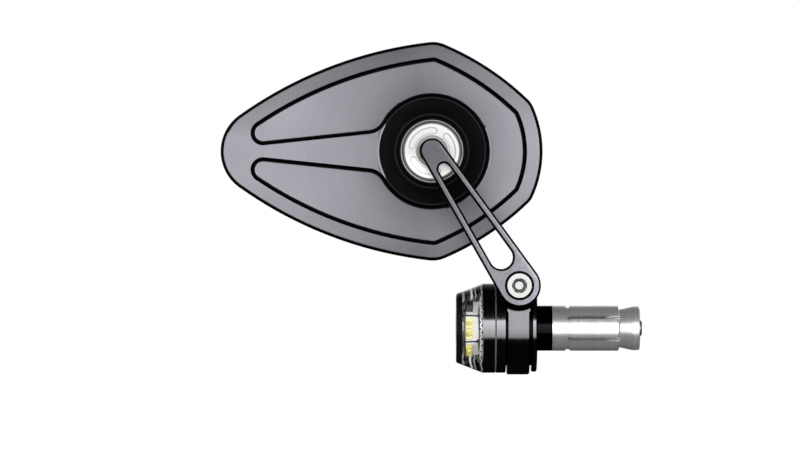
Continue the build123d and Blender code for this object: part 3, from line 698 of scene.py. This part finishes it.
low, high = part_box("pivot_screw")
middle = (low + high) / 2
seat = Matrix.Translation((middle.x, low.y, middle.z)) @ Matrix.Rotation(-math.pi / 2, 4, "X")
radius = (high.x - low.x) / 2
end = m6_head_height - knurl_margin / 2
mesh = knurled_band("pivot_screw_knurl", radius, knurl_margin, end, seat)
piece("pivot_screw_knurl", mesh, pivot_steel, "clamp")

low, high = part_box("pinch_screw")
middle = (low + high) / 2
seat = Matrix.Translation((middle.x, middle.y, high.z)) @ Matrix.Rotation(math.pi, 4, "X")
radius = (high.x - low.x) / 2
end = m4_head_height - knurl_margin / 2
mesh = knurled_band("pinch_screw_knurl", radius, knurl_margin, end, seat, ridges=32, height=0.06 * MM)
piece("pinch_screw_knurl", mesh, stainless, "clamp")


# Studio


def card(name, width, height, place, material):
    """A flat card of the studio, facing its own -Z before it is placed."""
    mesh = bpy.data.meshes.new(name)
    x = width / 2
    y = height / 2
    mesh.from_pydata([(-x, -y, 0), (x, -y, 0), (x, y, 0), (-x, y, 0)], [], [(0, 1, 2, 3)])
    mesh.materials.append(material)
    made = bpy.data.objects.new(name, mesh)
    made.matrix_world = place
    bpy.context.scene.collection.objects.link(made)
    return made


def show_to(made, camera=False, diffuse=False, glossy=False, transmission=False, shadow=False):
    made.visible_camera = camera
    made.visible_diffuse = diffuse
    made.visible_glossy = glossy
    made.visible_transmission = transmission
    made.visible_shadow = shadow


def glowing(name):
    """A material that only gives off light, with its strength still to be set."""
    finish = Finish(name)
    finish.tree.nodes.remove(finish.shader)
    glow = finish.node("Emission", {"Color": grey(1.0)})
    finish.surface(glow)
    return finish, glow.inputs["Strength"]


def softbox(name, width, height, radiance, y, turn):
    """A soft light that faces the object, a little stronger at its right and its top."""
    finish, strength = glowing(name)
    position = finish.node("NewGeometry").outputs["Position"]
    parts = finish.node("SeparateXYZ", {0: position}).outputs
    right = finish.math("DIVIDE", finish.minus(parts["X"], camera_x), width / 2)
    up = finish.math("DIVIDE", finish.minus(parts["Z"], softbox_z), height / 2)
    lean = finish.times(finish.plus(right, up), softbox_lean * radiance)
    finish.put(strength, finish.most(finish.plus(lean, radiance), softbox_least * radiance))
    place = Matrix.Translation((camera_x, y, softbox_z)) @ Matrix.Rotation(turn, 4, "X")
    made = card(name, width, height, place, finish.material)
    show_to(made, diffuse=True, glossy=True, transmission=y < 0)


def dark_card(name, length, dark, place):
    """A card beside the object that the metal shows as dark, and paler towards the back."""
    finish, strength = glowing(name)
    position = finish.node("NewGeometry").outputs["Position"]
    along = finish.node("SeparateXYZ", {0: position}).outputs["Y"]
    finish.put(strength, finish.ramp(along, card_fade_start, card_fade_end, dark, card_pale))
    made = card(name, 2 * card_reach, length, place, finish.material)
    show_to(made, glossy=True)


softbox("front_softbox", softbox_width, softbox_height, softbox_radiance, -softbox_distance, math.pi / 2)
softbox("rear_softbox", softbox_width, softbox_height, rear_softbox_radiance, softbox_distance, -math.pi / 2)

for name, side, angle, front, dark in (
    ("left_card", (-card_reach, 0, 0), math.pi / 2, side_card_front, side_card_dark),
    ("right_card", (card_reach, 0, 0), math.pi / 2, side_card_front, side_card_dark),
    ("upper_card", (0, 0, card_reach), 0.0, upper_card_front, card_dark),
    ("lower_card", (0, 0, lower_card_z - camera_z), 0.0, lower_card_front, card_dark),
):
    centre = Vector((camera_x, (front + card_back) / 2, camera_z)) + Vector(side)
    place = Matrix.Translation(centre) @ Matrix.Rotation(angle, 4, "Y")
    dark_card(name, card_back - front, dark, place)


def floor():
    """A pale floor that keeps the object's shadow."""
    finish = Finish("floor", Roughness=0.9)
    cloud = finish.noise(3, detail=2.0)
    paler = grey(floor_grey + floor_mottle)
    finish.set(Base_Color=finish.mix(finish.spread(cloud), grey(floor_grey), paler))
    seen = finish.node("LightPath").outputs["Is Camera Ray"]
    strength = finish.times(seen, floor_glow)
    glow = finish.node("Emission", {"Color": grey(1.0), "Strength": strength})
    both = finish.node("AddShader", {0: finish.shader.outputs[0], 1: glow.outputs[0]})
    finish.surface(both)
    place = Matrix.Translation((camera_x, 0, floor_z))
    made = card("floor", floor_size, floor_size, place, finish.material)
    show_to(made, camera=True, diffuse=True, transmission=True, shadow=True)


floor()


def studio_world():
    """White behind the object, for the camera and for metal, and an even soft light on it."""
    world = bpy.data.worlds.new("studio")
    bpy.context.scene.world = world
    world.use_nodes = True
    tree = world.node_tree
    light = tree.nodes.new("ShaderNodeLightPath").outputs
    seen = light["Is Camera Ray"]
    for ray in ("Is Glossy Ray", "Is Transmission Ray"):
        either = tree.nodes.new("ShaderNodeMath")
        either.operation = "MAXIMUM"
        tree.links.new(seen, either.inputs[0])
        tree.links.new(light[ray], either.inputs[1])
        seen = either.outputs[0]
    level = tree.nodes.new("ShaderNodeMapRange")
    level.inputs["To Min"].default_value = world_light
    level.inputs["To Max"].default_value = 1.0
    tree.links.new(seen, level.inputs["Value"])
    background = tree.nodes["Background"]
    background.inputs["Color"].default_value = (1, 1, 1, 1)
    tree.links.new(level.outputs["Result"], background.inputs["Strength"])


def camera():
    data = bpy.data.cameras.new("camera")
    data.sensor_width = sensor_width
    data.lens = sensor_width * camera_distance / picture_width
    made = bpy.data.objects.new("camera", data)
    place = Matrix.Translation((camera_x, -camera_distance, camera_z))
    made.matrix_world = place @ Matrix.Rotation(math.pi / 2, 4, "X")
    bpy.context.scene.collection.objects.link(made)
    bpy.context.scene.camera = made


studio_world()
camera()
bpy.context.scene.view_settings.view_transform = "Standard"
